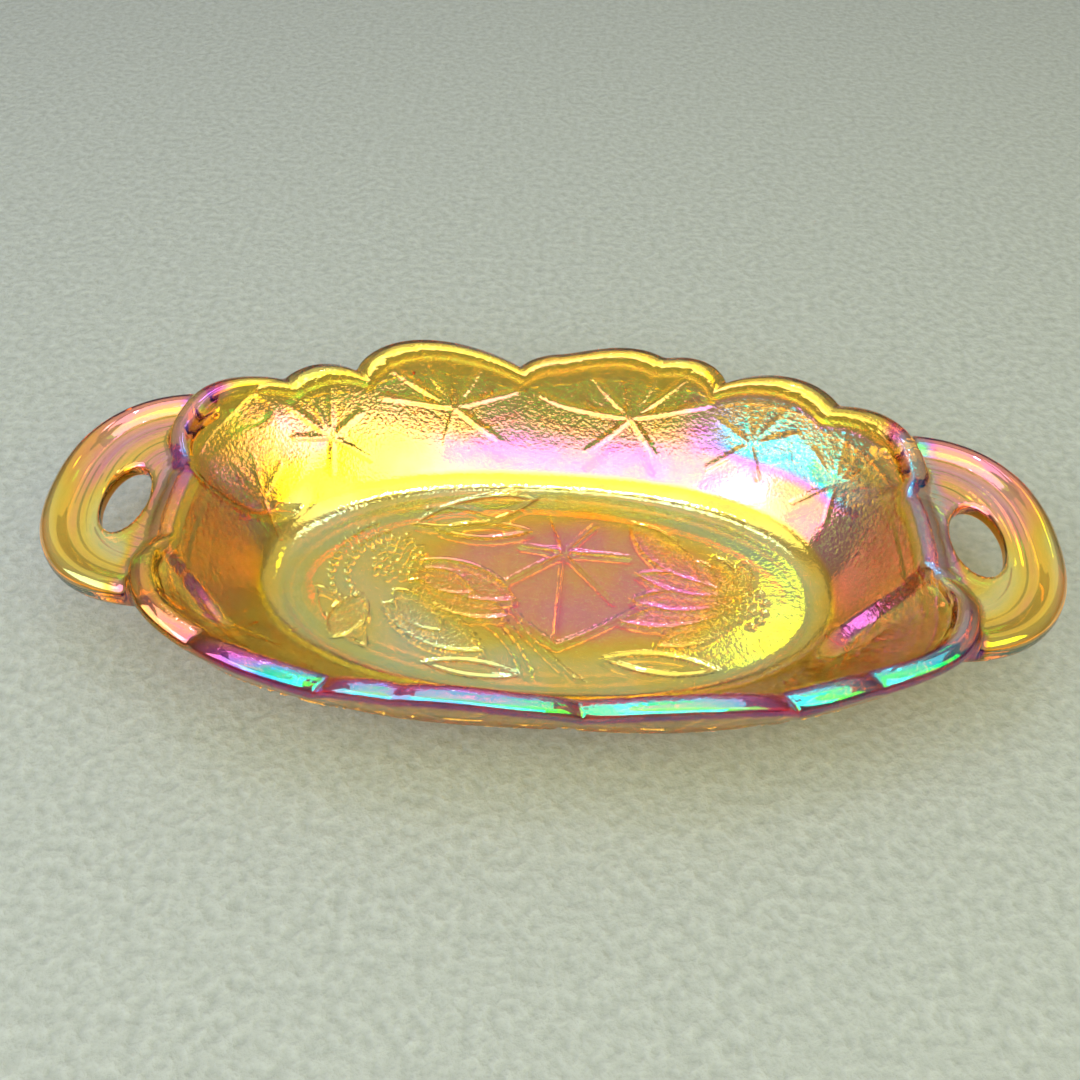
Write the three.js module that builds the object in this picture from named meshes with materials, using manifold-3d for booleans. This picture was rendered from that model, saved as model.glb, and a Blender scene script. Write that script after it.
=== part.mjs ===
// Oval pressed-glass relish dish: a flared bowl with a scalloped rim, an oval foot ring
// under its floor and a pierced lug handle at each end.
// Millimetres, +Z up, +X along the dish, origin under the middle of the foot.

import * as THREE from 'three';
import { mergeVertices } from 'three/addons/utils/BufferGeometryUtils.js';
import Module from 'manifold-3d';

const wasm = await Module();
wasm.setup();

// ---- driving dimensions -------------------------------------------------------------

const LENGTH = 216;                 // over the two handles

const FLOOR = { halfX: 58.5, halfY: 28, power: 2.15 };   // edge of the flat inner floor
const RIM = { halfX: 82.5, halfY: 50, power: 2.9 };      // rim outline at its notches
const WALL_RUN = RIM.halfY - FLOOR.halfY;                // floor edge to rim, in plan

const FLOOR_MIDDLE = 3.4;           // height of the middle of the floor's thickness
const CORNER_RADIUS = 10;           // floor to wall, on the middle of the thickness
const CORNER_BEND = THREE.MathUtils.degToRad(48);        // slope where corner meets wall
const WALL_RADIUS = 70;             // the wall is slightly hollow
const INNER_OFFSET = 1.8;           // middle of the thickness to the inside
const OUTER_OFFSET = 2.0;           // middle of the thickness to the outside
const WALL_LENGTH = 24.8;           // along the wall, from the corner up to a rim notch

// Rim lobes over half the rim: middle and half width in degrees round the oval, and how
// far the lobe reaches up the wall past the notches.  The other half is the same, turned
// 180 degrees.
const LOBES = [
  { middle: 0, halfWidth: 7.6, reach: 1.0 },
  { middle: 27, halfWidth: 19.7, reach: 4.8 },
  { middle: 55, halfWidth: 13.7, reach: 5.0 },
  { middle: 76.2, halfWidth: 7.6, reach: 5.4 },
  { middle: 84.5, halfWidth: 8.0, reach: 6.6 },
  { middle: 105.1, halfWidth: 12.9, reach: 7.0 },
  { middle: 126.8, halfWidth: 8.9, reach: 3.4 },
  { middle: 152.7, halfWidth: 20.0, reach: 4.8 },
];

// Pockets in the four corners, where the wall bulges out towards the handle.
const POCKETS = [
  { middle: 20, halfWidth: 14, depth: 1.2 },
  { middle: 162, halfWidth: 13, depth: 3.6 },
];

const FOOT = { outerX: 60, outerY: 30, innerX: 55, innerY: 25, height: 6 };

const HANDLE = {
  middleX: 79.5,                    // middle of the lug's oval outline
  halfX: LENGTH / 2 - 79.5,
  halfY: 31,
  holeX: 91.2,                      // middle of the finger hole
  bottom: 22,
  top: 28.5,
  edgeRound: 2.4,
};

// The left lug sits a little to the rear of the dish's long axis and has a smaller hole.
const HANDLES = [
  { name: 'left_handle', side: -1, shiftY: 2.5, holeHalfX: 4.6, holeHalfY: 9.6 },
  { name: 'right_handle', side: 1, shiftY: 0, holeHalfX: 5.4, holeHalfY: 9.8 },
];

const TOUCH_GAP = 0.3;              // clearance where two regions meet

const AROUND = 96;                  // steps round the oval
const GLASS = { color: 0xb8761a, roughness: 0.08, metalness: 0.0 };

// ---- outlines -----------------------------------------------------------------------

function superellipse(angle, halfX, halfY, power) {
  const c = Math.cos(angle);
  const s = Math.sin(angle);
  return [
    halfX * Math.sign(c) * Math.abs(c) ** (2 / power),
    halfY * Math.sign(s) * Math.abs(s) ** (2 / power),
  ];
}

// Plan point a given run outside the floor's edge: 0 is the floor, WALL_RUN the rim.
function ovalAt(angle, run) {
  const share = run / WALL_RUN;
  const blend = Math.min(Math.max(share, 0), 1);
  return superellipse(
    angle,
    THREE.MathUtils.lerp(FLOOR.halfX, RIM.halfX, share),
    THREE.MathUtils.lerp(FLOOR.halfY, RIM.halfY, share),
    THREE.MathUtils.lerp(FLOOR.power, RIM.power, blend),
  );
}

// Distance in degrees to a lobe's middle on a rim that repeats every 180 degrees.
function turnFrom(angle, middle) {
  const degrees = THREE.MathUtils.radToDeg(angle);
  const turn = THREE.MathUtils.euclideanModulo(degrees - middle + 90, 180) - 90;
  return Math.abs(turn);
}

function lobeReach(angle) {
  const reaches = LOBES.map((lobe) => {
    const share = turnFrom(angle, lobe.middle) / lobe.halfWidth;
    return lobe.reach * Math.max(1 - share * share, 0) ** 0.75;
  });
  return Math.max(...reaches);
}

function pocketDepth(angle) {
  const depths = POCKETS.map((pocket) => {
    const share = Math.min(turnFrom(angle, pocket.middle) / pocket.halfWidth, 1);
    return pocket.depth * Math.cos(share * Math.PI / 2) ** 2;
  });
  return Math.max(...depths);
}

// ---- bowl ---------------------------------------------------------------------------

// Point on the floor's rounded corner: bend 0 is the floor, CORNER_BEND the wall's foot.
function cornerPoint(angle, bend, offset) {
  const radius = CORNER_RADIUS + offset;
  const [x, y] = ovalAt(angle, radius * Math.sin(bend));
  return [x, y, FLOOR_MIDDLE + CORNER_RADIUS - radius * Math.cos(bend)];
}

// Point on the hollow wall, a given way up it from the end of the corner.
function wallPoint(angle, up, offset) {
  const bend = CORNER_BEND + up / WALL_RADIUS;
  const radius = WALL_RADIUS + offset;
  const extra = WALL_RADIUS - CORNER_RADIUS;
  const share = THREE.MathUtils.clamp(up / WALL_LENGTH, 0, 1);
  const run = radius * Math.sin(bend) - extra * Math.sin(CORNER_BEND) + pocketDepth(angle) * share;
  const [x, y] = ovalAt(angle, run);
  const middleHeight = FLOOR_MIDDLE + CORNER_RADIUS + extra * Math.cos(CORNER_BEND);
  return [x, y, middleHeight - radius * Math.cos(bend)];
}

// Point on the rounded lip: turn 0 faces inwards, PI outwards.
function lipPoint(angle, turn) {
  const radius = (INNER_OFFSET + OUTER_OFFSET) / 2;
  const middle = (OUTER_OFFSET - INNER_OFFSET) / 2;
  const up = WALL_LENGTH + lobeReach(angle) - radius + radius * Math.sin(turn);
  return wallPoint(angle, up, middle - radius * Math.cos(turn));
}

function floorPoint(angle, share, offset) {
  const [x, y] = ovalAt(angle, 0);
  return [x * share, y * share, FLOOR_MIDDLE - offset];
}

// One section through the bowl, from the middle of the inner floor over the lip and
// back to the middle of the underside.
function bowlSection(angle) {
  const lipRadius = (INNER_OFFSET + OUTER_OFFSET) / 2;
  const wallTop = WALL_LENGTH + lobeReach(angle) - lipRadius;
  const floorShares = [0.5, 1];
  const bends = [1 / 3, 2 / 3, 1].map((share) => share * CORNER_BEND);
  const rises = [0.35, 0.7].map((share) => share * wallTop);
  const lipTurns = [0, 1, 2, 3, 4, 5].map((step) => step * Math.PI / 5);
  return [
    ...floorShares.map((share) => floorPoint(angle, share, -INNER_OFFSET)),
    ...bends.map((bend) => cornerPoint(angle, bend, -INNER_OFFSET)),
    ...rises.map((up) => wallPoint(angle, up, -INNER_OFFSET)),
    ...lipTurns.map((turn) => lipPoint(angle, turn)),
    ...rises.toReversed().map((up) => wallPoint(angle, up, OUTER_OFFSET)),
    ...bends.toReversed().map((bend) => cornerPoint(angle, bend, OUTER_OFFSET)),
    ...floorShares.toReversed().map((share) => floorPoint(angle, share, OUTER_OFFSET)),
  ];
}

// A closed solid from one section per angle, with a middle point at each end.
function loftSections(sectionAt, firstMiddle, lastMiddle) {
  const positions = [];
  const triangles = [];
  const rows = sectionAt(0).length;
  for (let step = 0; step < AROUND; step += 1) {
    const angle = (step / AROUND) * 2 * Math.PI;
    positions.push(...sectionAt(angle).flat());
  }
  const first = AROUND * rows;
  const last = first + 1;
  positions.push(...firstMiddle, ...lastMiddle);
  for (let step = 0; step < AROUND; step += 1) {
    const here = step * rows;
    const next = ((step + 1) % AROUND) * rows;
    triangles.push(first, here, next);
    for (let row = 0; row < rows - 1; row += 1) {
      triangles.push(here + row, here + row + 1, next + row + 1);
      triangles.push(here + row, next + row + 1, next + row);
    }
    triangles.push(last, next + rows - 1, here + rows - 1);
  }
  const geometry = new THREE.BufferGeometry();
  geometry.setAttribute('position', new THREE.Float32BufferAttribute(positions, 3));
  geometry.setIndex(triangles);
  return geometry;
}

function bowlGeometry() {
  const insideMiddle = [0, 0, FLOOR_MIDDLE + INNER_OFFSET];
  const underMiddle = [0, 0, FLOOR_MIDDLE - OUTER_OFFSET];
  return loftSections(bowlSection, insideMiddle, underMiddle);
}

// Everything within the bowl's outside and above its floor, grown by the touch gap.
// It cuts the handles and the foot where they meet the bowl.
function bowlSpaceGeometry() {
  const offset = OUTER_OFFSET + TOUCH_GAP;
  const ceiling = 1.8 * WALL_LENGTH;
  const bends = [0, 1 / 3, 2 / 3, 1].map((share) => share * CORNER_BEND);
  const rises = [0.35 * WALL_LENGTH, 0.7 * WALL_LENGTH, WALL_LENGTH, ceiling];
  const section = (angle) => [
    ...rises.toReversed().map((up) => wallPoint(angle, up, offset)),
    ...bends.toReversed().map((bend) => cornerPoint(angle, bend, offset)),
  ];
  const topHeight = wallPoint(0, ceiling, offset)[2];
  return loftSections(section, [0, 0, topHeight], [0, 0, FLOOR_MIDDLE - offset]);
}

// ---- booleans -----------------------------------------------------------------------

function toSolid(geometry) {
  const bare = geometry.clone();
  bare.deleteAttribute('normal');
  bare.deleteAttribute('uv');
  const merged = mergeVertices(bare, 1e-4);
  const vertProperties = new Float32Array(merged.attributes.position.array);
  const triVerts = new Uint32Array(merged.index.array);
  return new wasm.Manifold(new wasm.Mesh({ numProp: 3, vertProperties, triVerts }));
}

function toGeometry(solid) {
  const mesh = solid.getMesh();
  const geometry = new THREE.BufferGeometry();
  geometry.setAttribute('position', new THREE.Float32BufferAttribute(mesh.vertProperties, 3));
  geometry.setIndex(new THREE.BufferAttribute(mesh.triVerts, 1));
  return geometry;
}

function cutClearOfBowl(geometry) {
  return toGeometry(toSolid(geometry).subtract(toSolid(bowlSpaceGeometry())));
}

// ---- handles ------------------------------------------------------------------------

function ellipseOutline(PathType, x, y, halfX, halfY, clockwise) {
  const path = new PathType();
  path.absellipse(x, y, halfX, halfY, 0, 2 * Math.PI, clockwise);
  return path;
}

// side is -1 for the left end and 1 for the right.
function handleGeometry({ side, shiftY, holeHalfX, holeHalfY }) {
  const { middleX, halfX, halfY, holeX, bottom, top, edgeRound } = HANDLE;
  const outline = ellipseOutline(THREE.Shape, side * middleX, shiftY, halfX, halfY, false);
  outline.holes.push(ellipseOutline(THREE.Path, side * holeX, 0, holeHalfX, holeHalfY, true));
  const lug = new THREE.ExtrudeGeometry(outline, {
    depth: top - bottom - 2 * edgeRound,
    bevelThickness: edgeRound,
    bevelSize: edgeRound,
    bevelOffset: -edgeRound,
    bevelSegments: 3,
    curveSegments: 20,
  });
  lug.translate(0, 0, bottom + edgeRound);
  return cutClearOfBowl(lug);
}

// ---- foot ---------------------------------------------------------------------------

function footGeometry() {
  const outline = ellipseOutline(THREE.Shape, 0, 0, FOOT.outerX, FOOT.outerY, false);
  outline.holes.push(ellipseOutline(THREE.Path, 0, 0, FOOT.innerX, FOOT.innerY, true));
  const ring = new THREE.ExtrudeGeometry(outline, {
    depth: FOOT.height,
    bevelEnabled: false,
    curveSegments: 36,
  });
  return cutClearOfBowl(ring);
}

// ---- assembly -----------------------------------------------------------------------

function glassPiece(name, geometry) {
  const mesh = new THREE.Mesh(geometry, new THREE.MeshStandardMaterial(GLASS));
  mesh.name = name;
  return mesh;
}

const dish = new THREE.Group();
dish.name = 'relish_dish';
dish.add(glassPiece('bowl', bowlGeometry()));
dish.add(glassPiece('foot_ring', footGeometry()));
for (const handle of HANDLES) {
  dish.add(glassPiece(handle.name, handleGeometry(handle)));
}

export default dish;
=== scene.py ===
"""Amber iridescent pressed-glass relish dish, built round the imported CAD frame.

The dish is one continuous glass mesh.  Its shape is a signed distance in millimetres, meshed on a
grid and then moved onto the exact surface, so highlights run smoothly over it.  The pressed pattern
of pads and flowers stands proud of the outside and the underside.
"""
import math

import bpy
import numpy as np
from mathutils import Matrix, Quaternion, Vector


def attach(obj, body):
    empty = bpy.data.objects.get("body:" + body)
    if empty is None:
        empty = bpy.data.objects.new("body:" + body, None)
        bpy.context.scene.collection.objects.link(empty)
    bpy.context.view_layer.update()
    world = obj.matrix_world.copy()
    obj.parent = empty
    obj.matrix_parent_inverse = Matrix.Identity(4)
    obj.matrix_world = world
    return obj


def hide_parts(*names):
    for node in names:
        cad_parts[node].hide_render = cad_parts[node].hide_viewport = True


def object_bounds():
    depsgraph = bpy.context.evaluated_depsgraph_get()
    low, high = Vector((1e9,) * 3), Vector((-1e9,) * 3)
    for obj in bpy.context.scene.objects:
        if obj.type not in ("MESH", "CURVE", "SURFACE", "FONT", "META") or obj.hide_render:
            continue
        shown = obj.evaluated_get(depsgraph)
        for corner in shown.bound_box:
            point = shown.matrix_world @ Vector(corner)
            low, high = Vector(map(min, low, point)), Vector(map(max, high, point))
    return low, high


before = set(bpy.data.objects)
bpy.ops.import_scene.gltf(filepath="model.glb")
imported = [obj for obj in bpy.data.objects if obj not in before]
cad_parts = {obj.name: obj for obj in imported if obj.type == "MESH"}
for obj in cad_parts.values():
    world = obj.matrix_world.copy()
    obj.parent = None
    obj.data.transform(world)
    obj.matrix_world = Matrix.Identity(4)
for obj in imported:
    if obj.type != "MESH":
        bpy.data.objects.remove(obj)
cad_low, cad_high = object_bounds()

MM = 0.001

# ---- driving dimensions, in millimetres --------------------------------------------------

HALF_LENGTH = cad_high.x / MM

FLOOR_HALF = np.array((58.5, 28.0))      # edge of the flat inner floor
FLOOR_POWER = 2.15                       # how square its oval is
RIM_HALF = np.array((82.5, 50.0))        # rim outline at its notches
RIM_POWER = 2.9
WALL_RUN = RIM_HALF[1] - FLOOR_HALF[1]   # floor edge to rim, in plan

FLOOR_MIDDLE = 3.4                       # height of the middle of the floor's thickness
INNER_OFFSET = 1.8                       # middle of the thickness to the inside
OUTER_OFFSET = 2.0                       # middle of the thickness to the outside
CORNER_RADIUS = 10.0                     # floor to wall, on the middle of the thickness
CORNER_BEND = math.radians(48)           # slope where the corner meets the wall
WALL_RADIUS = 70.0                       # the wall is slightly hollow
CORNER_LENGTH = CORNER_RADIUS * CORNER_BEND
RIM_CLIMB = CORNER_LENGTH + 24.8         # along the wall from the floor's edge to a notch
LIP_ROUND = 1.75
BEAD = 0.45                              # how far the lip's bead stands in from the wall
BEAD_HEIGHT = 3.2
BEAD_FADE = (-1.2, 0.6)                  # where the bead runs out, from its height

# Rim lobes over half the rim: middle and half width in degrees, reach past the notches.
LOBES = (
    (0, 7.6, 1.0),
    (27, 19.7, 4.8),
    (55, 13.7, 5.0),
    (76.2, 7.6, 5.4),
    (84.5, 8.0, 6.6),
    (105.1, 12.9, 7.0),
    (126.8, 8.9, 3.4),
    (152.7, 20.0, 4.8),
)
LOBE_SHARPNESS = 2.6                     # how sharply neighbouring lobes meet
LOBE_ROUND = 0.75                        # power that makes a lobe full

# Pockets beside the handles: the height up the wall of the crest below each, where the crest comes
# down from the rim and how fast, where it turns up again, and the pocket's depth on the wall and at
# the rim.  side is 1 for right rear and left front, -1 for the others.
POCKETS = (
    {"side": 1, "low": 19.0, "start": 7.0, "fade": 6.0, "turn": 30.0, "depth": 1.9, "rim": 1.2},
    {"side": -1, "low": 7.5, "start": 5.0, "fade": 4.5, "turn": 22.0, "depth": 2.6, "rim": 4.2},
)
POCKET_OPENS, POCKET_CLOSES = (1.0, 14.0), (24.0, 52.0)      # degrees from the dish's end
POCKET_RIM = (18.0, 31.0)                # climb over which the depth becomes that at the rim
CREST_EDGE = (-0.6, 3.4)                 # climb over which the wall steps out above the crest
CREST_RISE = 24.0                        # how high the crest starts beside the handle
CREST_SOFTENING = 2.0                    # how much softer its edge is there
CREST_CURL = 0.02                        # how fast the crest turns up at its far end

HANDLE_MIDDLE_X = 79.5
HANDLE_HALF = np.array((HALF_LENGTH - HANDLE_MIDDLE_X, 31.0))
HANDLE_POWER = 2.3                       # how square the lug's outline is
HANDLE_SHIFT = {-1: 3.0, 1: 0.0}         # how far each lug sits to the rear
HOLE_X = 91.2
HOLE_HALF = {-1: (4.6, 9.6), 1: (5.4, 9.8)}
HANDLE_TOP = 29.5
HANDLE_THICK = 6.0
HANDLE_ROUND = 2.7                       # the lug's rolled outer edge
HOLE_ROUND = 1.5
STREAK_PITCH = 1.6                       # faint rings on the lugs, left by the mould
STREAK_DEPTH = 0.06
STREAK_SLANT = 0.06                      # radians per millimetre to the rear
WIDE_STREAK_SHARE, WIDE_STREAK_DEPTH, WIDE_STREAK_SLANT = 0.43, 0.7, -0.05
LUG_DISH = 2.0                           # how far the lug's face is sunk
LUG_DISH_RUN = (3.0, 6.5)                # where it sinks, in from the edge
LUG_UNDER_DISH = 0.2                     # how far its underside rises in the middle
LUG_INSET = 0.8                          # how far the lug goes into the wall, as a share
LUG_JOIN = 2.0                           # width of the fillet between lug and wall

FOOT_HALF = np.array((57.5, 27.5))       # middle line of the foot ring
FOOT_FLAT, FOOT_SPREAD = 1.3, 4.4        # half width of its flat, and where its sides run out

VEIN_WIDTH, VEIN_HEIGHT = 0.85, 0.8      # half width and height of the pressed lines
EDGE_WIDTH, EDGE_HEIGHT = 0.75, 0.8       # the outlines of petals and leaves
DOT_RADIUS, DOT_HEIGHT = 0.9, 0.8
RIDGE_ROUND = 1.5                        # power of a pressed line's section
VEIN_FADE = 0.4                          # how much lower a vein is at its tip, as a share
PETAL_FACE, PETAL_FACE_RUN = 0.16, 1.6   # how far a petal's face stands up, and over what run

# Pads on the floor: hub and vein ends, in plan.
FLOOR_PADS = (
    ((4.0, 10.6), ((0.5, 21.7), (11.0, 19.4), (19.4, 9.8), (15.6, -3.3), (3.0, -14.5),
                   (-8.7, 0.9), (-6.6, 11.9))),
)

# Pads on the wall over half the rim: hub and vein ends, as degrees and climb.
WALL_PADS = (
    ((103.2, 18.2), ((116, 21), (113.5, 27), (107.5, 31), (101, 32.4), (96, 28.6), (93.4, 21.5),
                     (97, 11), (108, 10))),
    ((80.8, 17.4), ((91, 21), (88.2, 27), (83.5, 31), (78, 31.6), (72.5, 28.8), (68.5, 21.8),
                    (74, 10), (86, 9.5))),
    ((56, 16), ((65, 19), (62, 25), (56.5, 28), (51, 27), (47, 20.5), (49, 10), (62, 9))),
    ((30, 16.4), ((41, 19.5), (37, 26), (30.5, 28.4), (23.5, 26), (19, 18.5), (23, 9), (36, 8.5))),
    ((132, 15), ((141, 18.5), (138, 25), (132, 27.6), (126, 25), (122.5, 18.5), (126, 9), (138, 8))),
    ((160, 12.8), ((171, 15.5), (167, 21), (160, 24), (153, 21.6), (149, 15.5), (153, 7), (166, 6))),
)

# Petals, each lying over those before it: base, tip, half width.
PETALS = (
    ((-36, -8), (-12.5, -19.2), 4.6),
    ((-34, -4), (-22.2, -14.5), 3.6),
    ((-31, -1), (-8.0, -9.5), 4.2),
    ((-30, 5), (-6.4, -4.5), 4.6),
    ((-29.5, 2.5), (-16.1, -3.2), 3.0),
    ((-41, -6), (-46, -18), 4.0),
    ((43, -6), (25.4, -15.5), 3.4),
    ((42, -4), (17.7, -9.3), 3.2),
    ((42, -2), (20.1, -3.0), 3.0),
    ((42, 0), (21.5, 4.6), 2.8),
    ((43, 1), (31.2, 9.6), 2.6),
    ((44, 1), (39.4, 10.6), 2.4),
    ((45, 1), (46.5, 9.6), 2.2),
    ((36, 3), (19.8, 20.5), 4.2),
)

# Leaves: base, tip, half width.
LEAVES = (
    ((-32, 17), (-4, 27), 4.2),
    ((-26, 15.4), (-4.6, 16.4), 2.4),
    ((-24.8, -23.4), (-4.1, -25.4), 1.9),
    ((14, -20), (38, -21.5), 2.6),
    ((-52, -4), (-38, -20), 3.2),
)

# Stems: three points of a bent line.
STEMS = (
    ((-14.7, -9.7), (-6, -14), (-3.4, -26.5)),
    ((-10, -9.0), (-3, -16), (-0.5, -27)),
    ((-5.0, -11.6), (2, -21), (9.7, -27.0)),
    ((3.4, -16.9), (11, -13), (22.5, -4.2)),
    ((-8.7, 0.9), (-10, -8), (3.4, -16.9)),
    ((-30, 22), (-18, 25), (-10, 17)),
)

# Rounds of stamen dots: middle, number of dots, spacing.
DOT_ROUNDS = (
    ((42.3, -3.0), 30, 0.98),
    ((-34.5, 6.5), 34, 1.12),
)
# Arcs of dots: middle, radius, first and last degree, number of dots.
DOT_ARCS = (
    ((-34.5, 3), 15.2, 118, 228, 15),
    ((-34.5, 3), 11.6, 110, 240, 12),
    ((42.3, -3.0), 7.4, -60, 70, 7),
)

# Strength of the fine grain, against 1 on the outside of the wall.
PETAL_GRAIN = 1.5
FLOOR_GRAIN = 0.35
FULL_GRAIN_CLIMB = (7.0, 15.0)
INSIDE_GRAIN = 0.3                       # the share of it on the inside
OUTSIDE_GRAIN_OFF = (0.0, 1.2)           # and where, through the thickness, it becomes full
PLAIN_ENDS = (84.0, 87.0)                # it ends where the lugs begin

BAND_DROP = 5.0                          # plain band below the rim: depth at a notch
BAND_FOLLOW = 0.66                       # how far its lower line follows the lobes
BAND_STEP, BAND_LINE = 0.3, 0.5          # height of the band, and of the line along it
BAND_EDGE, BAND_LINE_WIDTH = 0.3, 0.7    # half widths of the step and of the line
SINK = 0.32                              # how far the inside sinks over the pattern, as a share

GRID = 0.5                               # step of the meshing grid
GRID_LOW = (-112.0, -57.0, -1.5)
GRID_HIGH = (112.0, 57.0, 38.0)
EVEN_ROUNDS, SURFACE_ROUNDS = 2, 3


# ---- small maths ----------------------------------------------------------------------------

def mix(first, second, share):
    return first + (second - first) * share


def smooth_step(value, low, high):
    share = np.clip((value - low) / (high - low), 0.0, 1.0)
    return share * share * (3.0 - 2.0 * share)


def round_corner(first, second, radius):
    """Both distances inside, with the corner between them rounded."""
    outside = np.hypot(np.maximum(first + radius, 0.0), np.maximum(second + radius, 0.0))
    return np.minimum(np.maximum(first, second), -radius) + outside


def blend_join(first, second, width):
    """Either distance inside, with the crease between them filled."""
    share = np.clip(0.5 + 0.5 * (second - first) / width, 0.0, 1.0)
    return second + (first - second) * share - width * share * (1.0 - share)


def oval_distance(x, y, half, power=2.0):
    """Signed distance to an oval, close to exact near its edge; a higher power is squarer."""
    across, up = np.abs(x / half[0]), np.abs(y / half[1])
    level = np.maximum(across ** power + up ** power, 1e-9) ** (1.0 / power)
    slope = np.hypot(across ** (power - 1.0) / half[0], up ** (power - 1.0) / half[1])
    slope = slope / np.maximum(level, 1e-6) ** (power - 1.0)
    return (level - 1.0) / np.maximum(slope, 1e-6)


# ---- the bowl's ovals -------------------------------------------------------------------------

def oval_size(share):
    blend = np.clip(share, 0.0, 1.0)
    half_x = mix(FLOOR_HALF[0], RIM_HALF[0], share)
    half_y = mix(FLOOR_HALF[1], RIM_HALF[1], share)
    return half_x, half_y, mix(FLOOR_POWER, RIM_POWER, blend)


def oval_level(x, y, share):
    half_x, half_y, power = oval_size(share)
    return ((x / half_x) ** power + (y / half_y) ** power) ** (1.0 / power) - 1.0


def oval_share(x, y):
    """Which oval a plan point lies on: 0 is the floor's edge, 1 the rim."""
    lowest, highest = -1.1, 2.2
    step, rounds, least = 1e-4, 9, 1e-9
    x, y = np.abs(x) + least, np.abs(y) + least
    share = np.zeros_like(x)
    for _ in range(rounds):
        level = oval_level(x, y, share)
        slope = (oval_level(x, y, share + step) - level) / step
        share = np.clip(share - level / slope, lowest, highest)
    return share


def oval_angle(x, y, share):
    """Angle round the oval, in degrees."""
    half_x, half_y, power = oval_size(share)
    up = np.sign(y) * np.abs(y / half_y) ** (power / 2)
    across = np.sign(x) * np.abs(x / half_x) ** (power / 2)
    return np.degrees(np.arctan2(up, across))


def turn_from(angle, middle):
    return np.mod(angle - middle + 90.0, 180.0) - 90.0


def lobe_reach(angle):
    total = 0.0
    for middle, half_width, reach in LOBES:
        share = turn_from(angle, middle) / half_width
        height = reach * np.maximum(1.0 - share * share, 0.0) ** LOBE_ROUND
        total = total + np.exp(LOBE_SHARPNESS * height) - 1.0
    return np.log1p(total) / LOBE_SHARPNESS


def pocket_depth(angle, climb):
    """How far the wall bulges out in the corner pockets."""
    from_end = turn_from(angle, 0.0)
    depth = 0.0
    for pocket in POCKETS:
        turn = from_end * pocket["side"]
        away = np.maximum(turn, 0.0)
        rise = np.exp(-(away - pocket["start"]) / pocket["fade"])
        crest = pocket["low"] + CREST_RISE * rise
        crest = crest + CREST_CURL * np.maximum(away - pocket["turn"], 0.0) ** 2
        above = smooth_step((climb - crest) / (1.0 + CREST_SOFTENING * rise), *CREST_EDGE)
        near = smooth_step(turn, *POCKET_OPENS) * (1.0 - smooth_step(turn, *POCKET_CLOSES))
        rim = smooth_step(climb, *POCKET_RIM)
        amount = mix(pocket["depth"], pocket["rim"], rim)
        depth = depth + near * above * amount
    return depth


# ---- the pressed pattern -----------------------------------------------------------------------

def outer_climb(run):
    """Climb of the outer surface above a plan point."""
    corner = CORNER_RADIUS * np.arcsin(np.clip(run / (CORNER_RADIUS + OUTER_OFFSET), -1.0, 1.0))
    extra = (WALL_RADIUS - CORNER_RADIUS) * math.sin(CORNER_BEND)
    bend = np.arcsin(np.clip((run + extra) / (WALL_RADIUS + OUTER_OFFSET), -1.0, 1.0))
    wall = CORNER_LENGTH + (bend - CORNER_BEND) * WALL_RADIUS
    return np.where(bend > CORNER_BEND, wall, corner)


def floor_edge(angle):
    """Plan point of the floor's edge at an angle in degrees."""
    across, up = np.cos(np.radians(angle)), np.sin(np.radians(angle))
    power = 2.0 / FLOOR_POWER
    return (
        FLOOR_HALF[0] * np.sign(across) * np.abs(across) ** power,
        FLOOR_HALF[1] * np.sign(up) * np.abs(up) ** power,
    )


def flattened(x, y, angle, run):
    """The wall folded down flat round the floor, so that lines keep their length."""
    edge_x, edge_y = floor_edge(angle)
    away = np.maximum(np.hypot(x - edge_x, y - edge_y), 1e-6)
    stretch = outer_climb(run) / away
    on_wall = run > 0.0
    return (
        np.where(on_wall, edge_x + (x - edge_x) * stretch, x),
        np.where(on_wall, edge_y + (y - edge_y) * stretch, y),
    )


def flat_spot(angle, climb):
    """Flattened place of a point on the wall given by its angle and climb."""
    half_way_up = 0.6
    edge_x, edge_y = floor_edge(angle)
    rim_x, rim_y, power = oval_size(half_way_up)
    across, up = math.cos(math.radians(angle)), math.sin(math.radians(angle))
    out_x = rim_x * math.copysign(abs(across) ** (2.0 / power), across) - edge_x
    out_y = rim_y * math.copysign(abs(up) ** (2.0 / power), up) - edge_y
    length = math.hypot(out_x, out_y)
    return edge_x + out_x / length * climb, edge_y + out_y / length * climb


def line_ridge(x, y, start, end, width, height):
    """A straight ridge that narrows and sinks a little towards its end."""
    along_x, along_y = end[0] - start[0], end[1] - start[1]
    dot = (x - start[0]) * along_x + (y - start[1]) * along_y
    share = np.clip(dot / (along_x ** 2 + along_y ** 2), 0.0, 1.0)
    away = np.hypot(x - start[0] - share * along_x, y - start[1] - share * along_y)
    profile = np.maximum(1.0 - (away / width) ** 2, 0.0) ** RIDGE_ROUND
    return height * (1.0 - VEIN_FADE * share) * profile


def bent_ridge(x, y, start, middle, end, width, height):
    """A ridge along a bent line through the first and last of three points."""
    steps = 7
    points = []
    for step in range(steps + 1):
        t = step / steps
        points.append([
            (1 - t) ** 2 * start[i] + 2 * t * (1 - t) * middle[i] + t * t * end[i] for i in (0, 1)
        ])
    ridges = [line_ridge(x, y, a, b, width, height) for a, b in zip(points, points[1:])]
    return np.max(ridges, axis=0)


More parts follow.
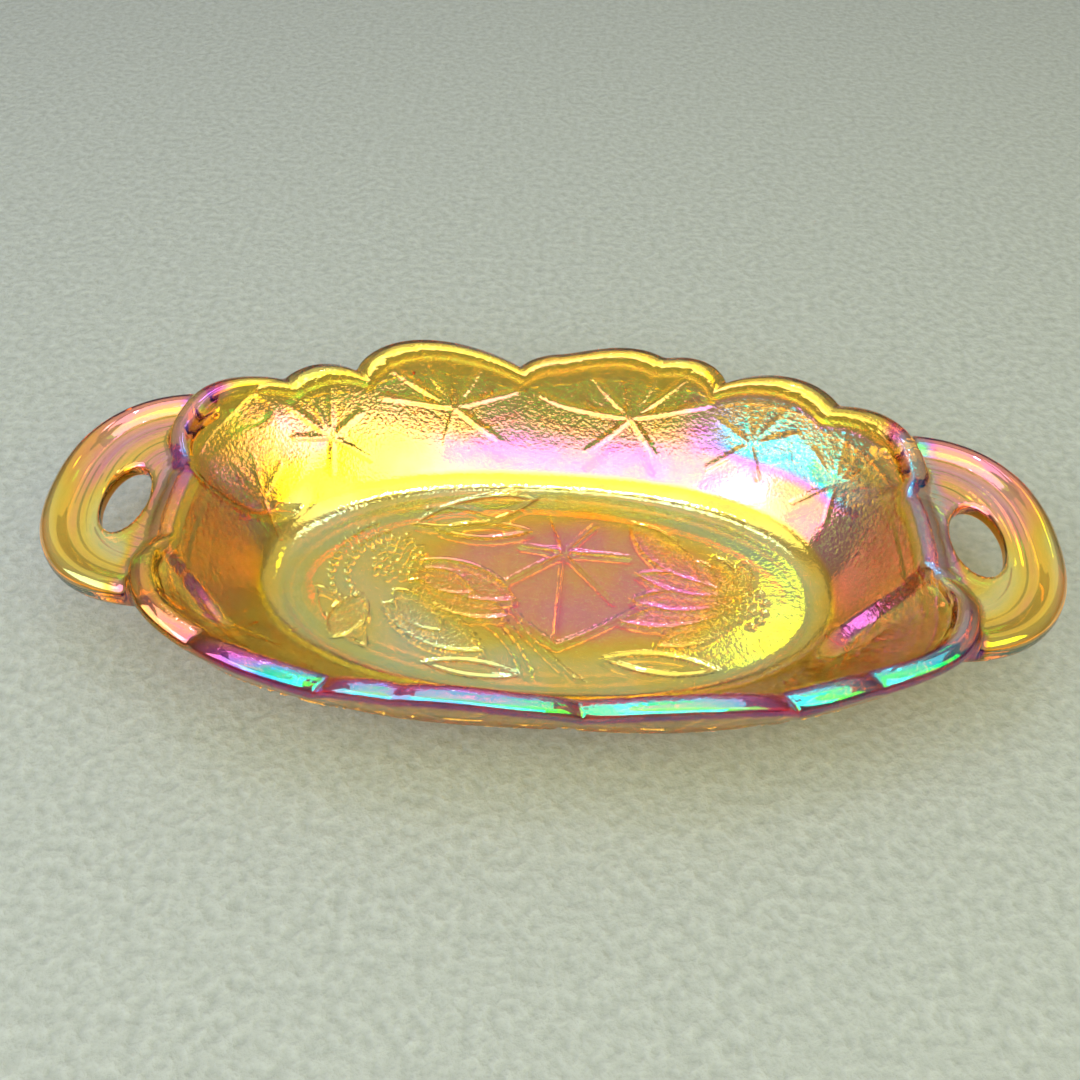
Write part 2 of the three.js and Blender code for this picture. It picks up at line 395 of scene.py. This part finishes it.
def petal_distance(x, y, base, tip, half_width):
    """Signed distance to a pointed petal, the overlap of two circles."""
    along_x, along_y = tip[0] - base[0], tip[1] - base[1]
    length = math.hypot(along_x, along_y)
    radius = (length ** 2 / 4 + half_width ** 2) / (2 * half_width)
    side_x = -along_y / length * (radius - half_width)
    side_y = along_x / length * (radius - half_width)
    middle_x, middle_y = (base[0] + tip[0]) / 2, (base[1] + tip[1]) / 2
    first = np.hypot(x - middle_x - side_x, y - middle_y - side_y)
    second = np.hypot(x - middle_x + side_x, y - middle_y + side_y)
    return np.maximum(first, second) - radius


def dot_places():
    """Middles of all the stamen dots."""
    golden_turn = math.pi * (3.0 - math.sqrt(5.0))
    places = []
    for (x, y), count, spacing in DOT_ROUNDS:
        for i in range(count):
            radius = spacing * math.sqrt(i + 0.5)
            places.append((x + radius * math.cos(i * golden_turn), y + radius * math.sin(i * golden_turn)))
    for (x, y), radius, first, last, count in DOT_ARCS:
        for turn in np.radians(np.linspace(first, last, count)):
            places.append((x + radius * math.cos(turn), y + radius * math.sin(turn)))
    return places


def pad_lines():
    """Start and end of every vein, flattened."""
    lines = [(hub, end) for hub, ends in FLOOR_PADS for end in ends]
    for turn in (0.0, 180.0):
        for (hub_angle, hub_climb), ends in WALL_PADS:
            hub = flat_spot(hub_angle + turn, hub_climb)
            lines += [(hub, flat_spot(angle + turn, climb)) for angle, climb in ends]
    return lines


def stamp(field, x, y, middle, size, change):
    """Changes a field near one place only, which keeps large meshes quick."""
    near = (np.abs(x - middle[0]) < size) & (np.abs(y - middle[1]) < size)
    field[near] = change(field[near], x[near], y[near])


def add_petal(relief, grain, x, y, base, tip, half_width, plain=False):
    """Lays a petal over what is behind it."""
    middle = ((base[0] + tip[0]) / 2, (base[1] + tip[1]) / 2)
    size = math.dist(base, tip) / 2 + 2.0

    def petal_relief(old, near_x, near_y):
        away = petal_distance(near_x, near_y, base, tip, half_width)
        outline = EDGE_HEIGHT * np.maximum(1.0 - (away / EDGE_WIDTH) ** 2, 0.0) ** RIDGE_ROUND
        face = 0.0 if plain else PETAL_FACE * smooth_step(-away, 0.0, PETAL_FACE_RUN)
        return np.where(away < 0.0, np.maximum(outline, face), np.maximum(outline, old))

    def petal_grain(old, near_x, near_y):
        away = petal_distance(near_x, near_y, base, tip, half_width)
        return np.where(away < 0.0, 0.0 if plain else PETAL_GRAIN, old)

    stamp(relief, x, y, middle, size, petal_relief)
    stamp(grain, x, y, middle, size, petal_grain)


def pressed_pattern(x, y, angle, run, reach):
    """Height outwards of pattern and foot, height of the pattern alone, and strength of grain."""
    flat_x, flat_y = flattened(x, y, angle, run)
    climb = np.where(run > 0.0, outer_climb(run), run)
    relief = np.zeros_like(flat_x)
    grain = mix(FLOOR_GRAIN, 1.0, smooth_step(climb, *FULL_GRAIN_CLIMB))

    for base, tip, half_width in LEAVES:
        add_petal(relief, grain, flat_x, flat_y, base, tip, half_width, plain=True)
    for start, middle, end in STEMS:
        ridge = bent_ridge(flat_x, flat_y, start, middle, end, EDGE_WIDTH, EDGE_HEIGHT)
        relief = np.maximum(relief, ridge)
    for start, end in pad_lines():
        centre = ((start[0] + end[0]) / 2, (start[1] + end[1]) / 2)
        stamp(relief, flat_x, flat_y, centre, math.dist(start, end) / 2 + 1.0, lambda old, u, v: (
            np.maximum(old, line_ridge(u, v, start, end, VEIN_WIDTH, VEIN_HEIGHT))))
    for base, tip, half_width in PETALS:
        add_petal(relief, grain, flat_x, flat_y, base, tip, half_width)
    for place in dot_places():
        stamp(relief, flat_x, flat_y, place, DOT_RADIUS, lambda old, u, v: (
            np.maximum(old, DOT_HEIGHT * np.sqrt(np.maximum(
                1.0 - ((u - place[0]) ** 2 + (v - place[1]) ** 2) / DOT_RADIUS ** 2, 0.0)))))

    above_band = climb - (RIM_CLIMB - BAND_DROP + BAND_FOLLOW * reach)
    band = smooth_step(above_band, -BAND_EDGE, BAND_EDGE)
    line = BAND_LINE * np.maximum(1.0 - (above_band / BAND_LINE_WIDTH) ** 2, 0.0) ** RIDGE_ROUND
    relief = relief * (1.0 - band) + BAND_STEP * band + line

    from_foot = np.abs(oval_distance(x, y, FOOT_HALF))
    foot = 1.0 - smooth_step(from_foot, FOOT_FLAT, FOOT_SPREAD)
    outwards = mix(relief, FLOOR_MIDDLE - OUTER_OFFSET, foot)
    return outwards, relief, grain * (1.0 - band)


# ---- the film's colours ------------------------------------------------------------------------

# Film thickness in nanometres.  About 190 reflects olive, 203 gold, 238 rose and 278 teal.
FLOOR_FILM = (190.0, 236.0)              # round the floor, and in its middle
FRINGE_FILM = 203.0                      # along the bottom of the wall
REAR_FILM = (203.0, 228.0)               # lower rear wall, left and right
UPPER_FILM = (217.0, 280.0)              # upper rear wall, left and right
FRONT_FILM = 215.0
END_FILM = 244.0                         # the wall beside the handles
REAR_RIM_FILM = 207.0
LIP_FILM = (266.0, 280.0)                # along the lip, left and right
ROSY_LIP_DROP = 40.0                     # how much thinner it is near the left front
LIP_BANDS = (5.0, 1.7, 0.5)              # bands across the lip: depth, turn for each mm, start
LIP_PATCHES = (3.0, 0.13)                # patches along it: depth, turn for each mm
LUG_FILM = (207.0, 244.0)                # towards the front, and towards the rear
LUG_RINGS = (16.0, 0.62, 0.06)           # depth, turn for each mm inwards and to the rear

# Where one colour gives way to the next, in millimetres.
REAR_Y = (-6.0, 10.0)
FLOOR_ROSE_MIDDLE, FLOOR_ROSE_HALF = (6.0, 2.0), (46.0, 24.0)
FLOOR_ROSE_RANGE = (-0.1, 0.9)
FLOOR_TO_WALL_CLIMB = (1.0, 6.5)
FRINGE_CLIMB = (6.5, 9.0)
REAR_ROSE_X, REAR_TEAL_X = (-54.0, -20.0), (24.0, 50.0)
UPPER_WALL_CLIMB = (15.5, 20.0)
END_WALL_X, END_WALL_Y = (60.0, 70.0), (12.0, 24.0)
REAR_RIM, LIP_RIM = (-6.0, -3.5), (-3.6, -2.0)               # climb from the rim
END_LIP_X = (73.0, 80.0)
TEAL_LIP_X = (-60.0, 40.0)
ROSY_LIP_X, ROSY_LIP_RUN = -72.0, 16.0
LUG_X, LUG_Z = (84.0, 87.5), (18.0, 23.0)
LUG_ROSE_Y = (-8.0, 18.0)


# ---- the dish as a distance ---------------------------------------------------------------------

def plan_values(x, y):
    """Everything about a plan point that doesn't change with height."""
    share = oval_share(x, y)
    angle = oval_angle(x, y, share)
    run = share * WALL_RUN
    reach = lobe_reach(angle)
    outwards, relief, grain = pressed_pattern(x, y, angle, run, reach)
    return {
        "x": x,
        "y": y,
        "run": run,
        "angle": angle,
        "reach": reach,
        "outwards": outwards,
        "sink": SINK * relief,
        "grain": grain,
    }


def wall_coordinates(run, z):
    """Climb along the wall from the floor's edge, and distance outside its middle."""
    height = z - FLOOR_MIDDLE - CORNER_RADIUS
    corner_bend = np.arctan2(run, -height)
    corner_off = np.hypot(run, height) - CORNER_RADIUS

    extra = WALL_RADIUS - CORNER_RADIUS
    wall_run = run + extra * math.sin(CORNER_BEND)
    wall_height = height - extra * math.cos(CORNER_BEND)
    wall_bend = np.arctan2(wall_run, -wall_height)
    wall_off = np.hypot(wall_run, wall_height) - WALL_RADIUS
    wall_climb = CORNER_LENGTH + (wall_bend - CORNER_BEND) * WALL_RADIUS

    on_floor = run < 0.0
    on_wall = ~on_floor & (corner_bend > CORNER_BEND)
    off = np.where(on_floor, -height - CORNER_RADIUS, np.where(on_wall, wall_off, corner_off))
    climb = np.where(on_floor, run, np.where(on_wall, wall_climb, corner_bend * CORNER_RADIUS))
    return climb, off


def lug_edge(x, y):
    """Distance outside the nearer lug's outline, and outside the glass at its finger hole."""
    left = x < 0.0
    shift = np.where(left, HANDLE_SHIFT[-1], HANDLE_SHIFT[1])
    edge = oval_distance(np.abs(x) - HANDLE_MIDDLE_X, y - shift, HANDLE_HALF, HANDLE_POWER)
    holes = [-oval_distance(np.abs(x) - HOLE_X, y, HOLE_HALF[side]) for side in (-1, 1)]
    return edge, np.where(left, holes[0], holes[1])


def lug_distance(x, y, z):
    """A pierced flange: a rolled outer edge round a shallow dished face."""
    edge, hole = lug_edge(x, y)
    dished = smooth_step(-edge, *LUG_DISH_RUN)
    phase = edge * 2.0 * math.pi / STREAK_PITCH
    fine = np.sin(phase + STREAK_SLANT * y)
    wide = WIDE_STREAK_DEPTH * np.sin(WIDE_STREAK_SHARE * phase + WIDE_STREAK_SLANT * y)
    top = z - HANDLE_TOP + LUG_DISH * dished + STREAK_DEPTH * dished * (fine + wide)
    bottom = HANDLE_TOP - HANDLE_THICK - z + LUG_UNDER_DISH * dished
    flange = round_corner(np.maximum(top, bottom), edge, HANDLE_ROUND)
    return round_corner(flange, hole, HOLE_ROUND)


def dish_distance(plan, z):
    """Signed distance in millimetres, negative in the glass."""
    x, y = plan["x"], plan["y"]
    climb, _ = wall_coordinates(plan["run"], z)
    run = plan["run"] - pocket_depth(plan["angle"], climb)
    climb, off = wall_coordinates(run, z)
    lip = climb - RIM_CLIMB - plan["reach"]
    bead = BEAD * smooth_step(lip + BEAD_HEIGHT, *BEAD_FADE)
    inside = INNER_OFFSET + bead - plan["sink"]
    slab = np.maximum(off - OUTER_OFFSET - plan["outwards"], -off - inside)
    bowl = round_corner(slab, lip, LIP_ROUND)

    lug = np.maximum(lug_distance(x, y, z), -off - INNER_OFFSET * LUG_INSET)
    return blend_join(bowl, lug, LUG_JOIN)


# ---- meshing --------------------------------------------------------------------------------------

CUBE = np.array([(i, j, k) for i in (0, 1) for j in (0, 1) for k in (0, 1)])
EDGES = [(a, b) for a in range(8) for b in range(a + 1, 8) if abs(CUBE[a] - CUBE[b]).sum() == 1]


def grid_values(low, high, step):
    axes = [np.arange(low[i], high[i] + step, step) for i in range(3)]
    x, y = np.meshgrid(axes[0], axes[1], indexing="ij")
    plan = plan_values(x, y)
    values = np.stack([dish_distance(plan, z) for z in axes[2]], axis=2)
    return values.astype(np.float32)


def fill_crossings(values):
    """Fills grid faces whose diagonals differ, which would pinch the mesh."""
    rounds, depth = 6, 0.02
    for _ in range(rounds):
        pinched = 0
        for first, second in ((0, 1), (1, 2), (0, 2)):
            parts = []
            for step_first, step_second in ((0, 0), (0, 1), (1, 1), (1, 0)):
                cut = [slice(None)] * 3
                cut[first] = slice(step_first, values.shape[first] - 1 + step_first)
                cut[second] = slice(step_second, values.shape[second] - 1 + step_second)
                parts.append(values[tuple(cut)])
            signs = [part < 0.0 for part in parts]
            crossed = (signs[0] == signs[2]) & (signs[1] == signs[3]) & (signs[0] != signs[1])
            pinched += int(crossed.sum())
            for part in parts:
                part[crossed] = np.minimum(part[crossed], -depth)
        if not pinched:
            break
    return values


def surface_net(values, low, step):
    """Quads round the zero of a grid of distances, one vertex in each cell it crosses."""
    inside = values < 0.0
    shape = np.array(values.shape)
    count = sum(
        inside[i:shape[0] - 1 + i, j:shape[1] - 1 + j, k:shape[2] - 1 + k].astype(np.int8)
        for i, j, k in CUBE
    )
    cells = np.argwhere((count > 0) & (count < 8))
    corner = np.stack([values[tuple((cells + offset).T)] for offset in CUBE], axis=1)
    total = np.zeros((len(cells), 3))
    crossings = np.zeros(len(cells))
    for a, b in EDGES:
        crossed = (corner[:, a] < 0.0) != (corner[:, b] < 0.0)
        share = corner[:, a] / np.where(crossed, corner[:, a] - corner[:, b], 1.0)
        point = CUBE[a] + share[:, None] * (CUBE[b] - CUBE[a])
        total += np.where(crossed[:, None], point, 0.0)
        crossings += crossed
    points = low + step * (cells + total / crossings[:, None])

    index = np.full(shape - 1, -1, dtype=np.int32)
    index[tuple(cells.T)] = np.arange(len(cells))
    quads = []
    for axis in range(3):
        ahead = [slice(None)] * 3
        behind = [slice(None)] * 3
        ahead[axis], behind[axis] = slice(1, None), slice(None, -1)
        start, end = inside[tuple(behind)], inside[tuple(ahead)]
        spots = np.argwhere(start != end)
        second, third = (axis + 1) % 3, (axis + 2) % 3
        ring = []
        for back_second, back_third in ((1, 1), (0, 1), (0, 0), (1, 0)):
            cell = spots.copy()
            cell[:, second] -= back_second
            cell[:, third] -= back_third
            ring.append(index[tuple(cell.T)])
        quad = np.stack(ring, axis=1)
        outwards = start[tuple(spots.T)]
        quad[~outwards] = quad[~outwards][:, ::-1]
        quads.append(quad)
    return points, np.concatenate(quads)


def even_out(points, quads, rounds):
    """Slides the vertices half way to the middle of their neighbours."""
    starts = quads.ravel()
    ends = np.roll(quads, -1, axis=1).ravel()
    links = np.bincount(starts, minlength=len(points)).astype(float)
    for _ in range(rounds):
        middle = np.stack(
            [np.bincount(starts, points[ends, i], len(points)) / links for i in range(3)], axis=1
        )
        points = points + 0.5 * (middle - points)
    return points


def onto_surface(points, rounds):
    """Moves the vertices along the slope of the distance until they are on the surface."""
    nudge, least_slope = 0.02, 0.2
    for _ in range(rounds):
        x, y, z = points.T
        plan = plan_values(x, y)
        here = dish_distance(plan, z)
        slope = np.stack([
            dish_distance(plan_values(x + nudge, y), z) - here,
            dish_distance(plan_values(x, y + nudge), z) - here,
            dish_distance(plan, z + nudge) - here,
        ], axis=1) / nudge
        steep = np.maximum((slope ** 2).sum(axis=1), least_slope)
        move = -here[:, None] * slope / steep[:, None]
        size = np.linalg.norm(move, axis=1, keepdims=True)
        points = points + move * np.minimum(1.0, GRID / np.maximum(size, 1e-9))
    return points


def floor_film(x, y):
    """Olive round the floor and rose in its middle."""
    rose = 1.0 - ((x - FLOOR_ROSE_MIDDLE[0]) / FLOOR_ROSE_HALF[0]) ** 2
    rose = rose - ((y - FLOOR_ROSE_MIDDLE[1]) / FLOOR_ROSE_HALF[1]) ** 2
    return mix(*FLOOR_FILM, smooth_step(rose, *FLOOR_ROSE_RANGE))


def wall_film(x, y, climb, rear):
    """Gold, turning rose along the rear wall and at the ends, with teal at the right rear."""
    lower = mix(*REAR_FILM, smooth_step(x, *REAR_ROSE_X))
    upper = mix(*UPPER_FILM, smooth_step(x, *REAR_TEAL_X))
    rear_wall = mix(lower, upper, smooth_step(climb, *UPPER_WALL_CLIMB))
    wall = mix(FRONT_FILM, rear_wall, rear)
    at_end = smooth_step(np.abs(x), *END_WALL_X) * (1.0 - smooth_step(y, *END_WALL_Y))
    wall = mix(wall, END_FILM, at_end)
    return mix(FRINGE_FILM, wall, smooth_step(climb, *FRINGE_CLIMB))


def lip_film(x, off, rear):
    """Teal along the lip, rose near the left front, in faint bands and patches."""
    rosy = np.exp(-((x - ROSY_LIP_X) / ROSY_LIP_RUN) ** 2) * (1.0 - rear)
    lip = mix(*LIP_FILM, smooth_step(x, *TEAL_LIP_X)) - ROSY_LIP_DROP * rosy
    band_depth, band_turn, band_start = LIP_BANDS
    patch_depth, patch_turn = LIP_PATCHES
    bands = band_depth * np.sin(off * band_turn + band_start)
    return lip + bands + patch_depth * np.sin(x * patch_turn)


def lug_film(x, y):
    """Gold towards the front and rose towards the rear, in rings."""
    edge, _ = lug_edge(x, y)
    depth, turn, slant = LUG_RINGS
    rings = depth * np.sin(edge * turn + y * slant)
    return mix(*LUG_FILM, smooth_step(y, *LUG_ROSE_Y)) + rings


def film_thickness(plan, z):
    """The sprayed film in nanometres, which sets the colour that each region reflects."""
    x, y = plan["x"], plan["y"]
    climb, off = wall_coordinates(plan["run"], z)
    rear = smooth_step(y, *REAR_Y)
    on_wall = smooth_step(climb, *FLOOR_TO_WALL_CLIMB)
    film = mix(floor_film(x, y), wall_film(x, y, climb, rear), on_wall)

    from_rim = climb - RIM_CLIMB - plan["reach"]
    film = mix(film, REAR_RIM_FILM, smooth_step(from_rim, *REAR_RIM) * rear)
    front_or_end = np.maximum(1.0 - rear, smooth_step(np.abs(x), *END_LIP_X))
    on_lip = smooth_step(from_rim, *LIP_RIM) * front_or_end
    film = mix(film, lip_film(x, off, rear), on_lip)

    on_lug = smooth_step(np.abs(x), *LUG_X) * smooth_step(z, *LUG_Z)
    return mix(film, lug_film(x, y), on_lug)


def add_values(mesh, name, values):
    mesh.attributes.new(name, "FLOAT", "POINT").data.foreach_set("value", values.astype(np.float32))


def dish_mesh():
    values = fill_crossings(grid_values(GRID_LOW, GRID_HIGH, GRID))
    points, quads = surface_net(values, np.array(GRID_LOW), GRID)
    points = even_out(points, quads, EVEN_ROUNDS)
    points = onto_surface(points, SURFACE_ROUNDS)
    mesh = bpy.data.meshes.new("relish_dish")
    mesh.from_pydata((points * MM).tolist(), [], quads.tolist())
    mesh.shade_smooth()
    mesh.update()

    x, y, z = points.T
    plan = plan_values(x, y)
    _, off = wall_coordinates(plan["run"], z)
    outer = mix(INSIDE_GRAIN, 1.0, smooth_step(off, *OUTSIDE_GRAIN_OFF))
    add_values(mesh, "grain", plan["grain"] * outer * (1.0 - smooth_step(np.abs(x), *PLAIN_ENDS)))
    add_values(mesh, "film", film_thickness(plan, z))
    return mesh


# ---- materials ---------------------------------------------------------------------------------

FILM_IOR = 2.2
FILM_PATCHES = 11.0                      # how far the film's thickness drifts in soft patches
PATCH_SCALE = 48.0
PAINTED_SHEEN_FILM_RANGE = (188.0, 293.0)              # film thickness at the first and last tint of the painted sheen
# Base colours along the film's thickness: the amber of the glass, with painted sheen in rose and pale
# green where the film reflects rose and teal.
AMBER_AND_PAINTED_SHEEN_TINTS = (
    (0.0, (1.0, 0.85, 0.18)),
    (0.3, (1.0, 0.76, 0.26)),
    (0.55, (1.0, 0.66, 0.46)),
    (1.0, (0.87, 0.9, 0.5)),
)
AMBER = (0.977, 0.763, 0.075)
AMBER_DENSITY = 240.0
GLASS_IOR = 1.52
GLOSS_SCALE, GLOSS_ROUGHNESS = 300.0, (0.015, 0.05)
GRAIN_ROUGHNESS = 0.05
WAVE_SCALE, WAVE_HEIGHT = 55.0, 0.00022
STIPPLE_SCALE, STIPPLE_HEIGHT = 1250.0, 0.00045

FLOOR_DARK = (0.133, 0.154, 0.192)
FLOOR_LIGHT = (0.181, 0.207, 0.258)
FLOOR_ROUGHNESS = 0.95
NAP_SCALE, NAP_HEIGHT = 420.0, 0.0008
NOISE_RANGE = (0.3, 0.7)                 # where most of a noise's values lie


def add_node(tree, kind, **settings):
    node = tree.nodes.new(kind)
    for name, value in settings.items():
        setattr(node, name, value)
    return node


def link(tree, source, target):
    tree.links.new(source, target)


def noise(tree, place, scale, detail=2.0):
    node = add_node(tree, "ShaderNodeTexNoise")
    node.inputs["Scale"].default_value = scale
    node.inputs["Detail"].default_value = detail
    link(tree, place, node.inputs["Vector"])
    return node.outputs["Fac"]


def map_range(tree, value, from_low, from_high, to_low, to_high):
    node = add_node(tree, "ShaderNodeMapRange")
    limits = (("From Min", from_low), ("From Max", from_high), ("To Min", to_low), ("To Max", to_high))
    for name, limit in limits:
        node.inputs[name].default_value = limit
    link(tree, value, node.inputs["Value"])
    return node.outputs["Result"]


def math_node(tree, operation, first, second):
    node = add_node(tree, "ShaderNodeMath", operation=operation)
    for socket, value in zip(node.inputs, (first, second)):
        if isinstance(value, (int, float)):
            socket.default_value = value
        else:
            link(tree, value, socket)
    return node.outputs[0]


def mesh_value(tree, name):
    node = add_node(tree, "ShaderNodeAttribute", attribute_name=name)
    return node.outputs["Fac"]


def colour_ramp(tree, value, stops):
    node = add_node(tree, "ShaderNodeValToRGB")
    ramp = node.color_ramp
    while len(ramp.elements) < len(stops):
        ramp.elements.new(0.5)
    for element, (place, colour) in zip(ramp.elements, stops):
        element.position = place
        element.color = (*colour, 1.0)
    link(tree, value, node.inputs["Fac"])
    return node.outputs["Color"]


def bump(tree, height, distance, normal=None):
    node = add_node(tree, "ShaderNodeBump")
    node.inputs["Strength"].default_value = 1.0
    node.inputs["Distance"].default_value = distance
    link(tree, height, node.inputs["Height"])
    if normal is not None:
        link(tree, normal, node.inputs["Normal"])
    return node.outputs["Normal"]


def glass_material():
    """Amber glass with an iridescent film, grained ground and a slightly wavy fire-polished face; its base
    colour follows the film, amber with painted rose and pale green sheen.
    """
    material = bpy.data.materials.new("amber_glass")
    material.use_nodes = True
    tree = material.node_tree
    shader = tree.nodes["Principled BSDF"]
    place = add_node(tree, "ShaderNodeTexCoord").outputs["Object"]

    drift = noise(tree, place, PATCH_SCALE, 3.0)
    patches = map_range(tree, drift, *NOISE_RANGE, -FILM_PATCHES, FILM_PATCHES)
    film = math_node(tree, "ADD", mesh_value(tree, "film"), patches)
    link(tree, film, shader.inputs["Thin Film Thickness"])
    shader.inputs["Thin Film IOR"].default_value = FILM_IOR

    # The base colour carries painted sheen: it turns rose and pale green where the film reflects rose and
    # teal.
    painted_sheen_share = map_range(tree, film, *PAINTED_SHEEN_FILM_RANGE, 0.0, 1.0)
    colour = colour_ramp(tree, painted_sheen_share, AMBER_AND_PAINTED_SHEEN_TINTS)
    link(tree, colour, shader.inputs["Base Color"])

    grain = mesh_value(tree, "grain")
    gloss = map_range(tree, noise(tree, place, GLOSS_SCALE), *NOISE_RANGE, *GLOSS_ROUGHNESS)
    grained = math_node(tree, "MULTIPLY", grain, GRAIN_ROUGHNESS)
    link(tree, math_node(tree, "ADD", gloss, grained), shader.inputs["Roughness"])

    waves = bump(tree, noise(tree, place, WAVE_SCALE), WAVE_HEIGHT)
    stipple = math_node(tree, "MULTIPLY", noise(tree, place, STIPPLE_SCALE), grain)
    link(tree, bump(tree, stipple, STIPPLE_HEIGHT, waves), shader.inputs["Normal"])

    shader.inputs["IOR"].default_value = GLASS_IOR
    shader.inputs["Transmission Weight"].default_value = 1.0
    absorb = add_node(tree, "ShaderNodeVolumeAbsorption")
    absorb.inputs["Color"].default_value = (*AMBER, 1.0)
    absorb.inputs["Density"].default_value = AMBER_DENSITY
    link(tree, absorb.outputs[0], tree.nodes["Material Output"].inputs["Volume"])
    return material


def floor_material():
    """A pale cover, plain but for its faint nap."""
    material = bpy.data.materials.new("pale_floor")
    material.use_nodes = True
    tree = material.node_tree
    shader = tree.nodes["Principled BSDF"]
    place = add_node(tree, "ShaderNodeTexCoord").outputs["Object"]
    nap = noise(tree, place, NAP_SCALE, 4.0)
    colour = colour_ramp(tree, nap, tuple(zip(NOISE_RANGE, (FLOOR_DARK, FLOOR_LIGHT))))
    link(tree, colour, shader.inputs["Base Color"])
    link(tree, bump(tree, nap, NAP_HEIGHT), shader.inputs["Normal"])
    shader.inputs["Roughness"].default_value = FLOOR_ROUGHNESS
    return material


# ---- stage -----------------------------------------------------------------------------------------

SENSOR_WIDTH = 36.0
FOCAL_LENGTH = 36.1
CAMERA_DISTANCE = 243.5
CAMERA_ELEVATION = math.radians(48.0)
CAMERA_TURN = math.radians(2.4)
CAMERA_ROLL = math.radians(1.1)
CAMERA_TARGET = Vector((-1.6, 4.6, 15.0))

FLOOR_HALF_SIDE = 4.0
LIGHT_DISTANCE = 0.9
ROOM_LOW = (0.12, 0.13, 0.14)
ROOM_HIGH = (0.72, 0.74, 0.76)
ROOM_RANGE = (0.1, 0.9)

WHITE = (1.0, 1.0, 1.0)
# Soft lights: name, azimuth, elevation, size in metres, radiance, colour, shape.
SOFTBOXES = (
    ("key", -6, 43, (0.86, 0.44), 5.0, WHITE, "RECTANGLE"),
    ("key_left", -58, 42, (0.8, 0.5), 4.5, (1.0, 0.96, 0.7), "RECTANGLE"),
    ("key_right", 46, 44, (0.94, 0.42), 4.8, (1.0, 0.92, 0.04), "RECTANGLE"),
    ("fringe", 0, 66, (1.3, 0.3), 4.2, (1.0, 0.9, 0.3), "RECTANGLE"),
    ("overhead", 0, 89, (1.1, 0.44), 3.0, (1.0, 0.95, 0.7), "RECTANGLE"),
    ("top", 173, 68, (0.2, 0.05), 9.0, WHITE, "RECTANGLE"),
    ("rear", 180, 48, (1.3, 0.6), 0.7, (1.0, 0.8, 0.36), "RECTANGLE"),
    ("accent", 157, 51, (0.10, 0.07), 7.0, (1.0, 0.86, 0.02), "ELLIPSE"),
    ("spark", 176, 83, (0.045, 0.045), 120.0, WHITE, "DISK"),
)


def direction(azimuth, elevation):
    """Unit vector from the dish; azimuth 0 is towards the camera's side and 90 to the right."""
    return Vector((
        math.sin(azimuth) * math.cos(elevation),
        -math.cos(azimuth) * math.cos(elevation),
        math.sin(elevation),
    ))


def aim(item, from_direction, roll=0.0):
    item.rotation_mode = "QUATERNION"
    item.rotation_quaternion = from_direction.to_track_quat("Z", "Y") @ Quaternion((0, 0, 1), roll)


def add_camera():
    data = bpy.data.cameras.new("camera")
    data.sensor_width = SENSOR_WIDTH
    data.lens = FOCAL_LENGTH
    camera = bpy.data.objects.new("camera", data)
    bpy.context.collection.objects.link(camera)
    back = direction(CAMERA_TURN, CAMERA_ELEVATION)
    camera.location = (CAMERA_TARGET + back * CAMERA_DISTANCE) * MM
    aim(camera, back, CAMERA_ROLL)
    bpy.context.scene.camera = camera


def add_softbox(name, azimuth, elevation, size, radiance, colour, shape):
    """A soft light a fixed way off, aimed at the dish."""
    data = bpy.data.lights.new(name, "AREA")
    data.shape = shape
    data.size, data.size_y = size
    data.energy = radiance * math.pi * size[0] * size[1]
    data.color = colour
    light = bpy.data.objects.new(name, data)
    bpy.context.collection.objects.link(light)
    towards = direction(math.radians(azimuth), math.radians(elevation))
    light.location = towards * LIGHT_DISTANCE
    aim(light, towards)


def add_world():
    """A dim room, lighter overhead."""
    world = bpy.data.worlds.new("studio")
    world.use_nodes = True
    tree = world.node_tree
    place = add_node(tree, "ShaderNodeTexCoord").outputs["Generated"]
    split = add_node(tree, "ShaderNodeSeparateXYZ")
    link(tree, place, split.inputs[0])
    height = map_range(tree, split.outputs["Z"], *ROOM_RANGE, 0.0, 1.0)
    colour = colour_ramp(tree, height, ((0.0, ROOM_LOW), (1.0, ROOM_HIGH)))
    link(tree, colour, tree.nodes["Background"].inputs["Color"])
    bpy.context.scene.world = world


def add_floor():
    mesh = bpy.data.meshes.new("floor")
    half = FLOOR_HALF_SIDE
    corners = [(-half, -half, 0), (half, -half, 0), (half, half, 0), (-half, half, 0)]
    mesh.from_pydata(corners, [], [(0, 1, 2, 3)])
    floor = bpy.data.objects.new("floor", mesh)
    bpy.context.collection.objects.link(floor)
    mesh.materials.append(floor_material())


# ---- scene -----------------------------------------------------------------------------------------

add_camera()
add_floor()
add_world()
for softbox in SOFTBOXES:
    add_softbox(*softbox)
bpy.context.scene.view_settings.view_transform = "Standard"

dish = bpy.data.objects.new("relish_dish", dish_mesh())
bpy.context.collection.objects.link(dish)
dish.data.materials.append(glass_material())
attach(dish, "root")
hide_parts("bowl", "foot_ring", "left_handle", "right_handle")
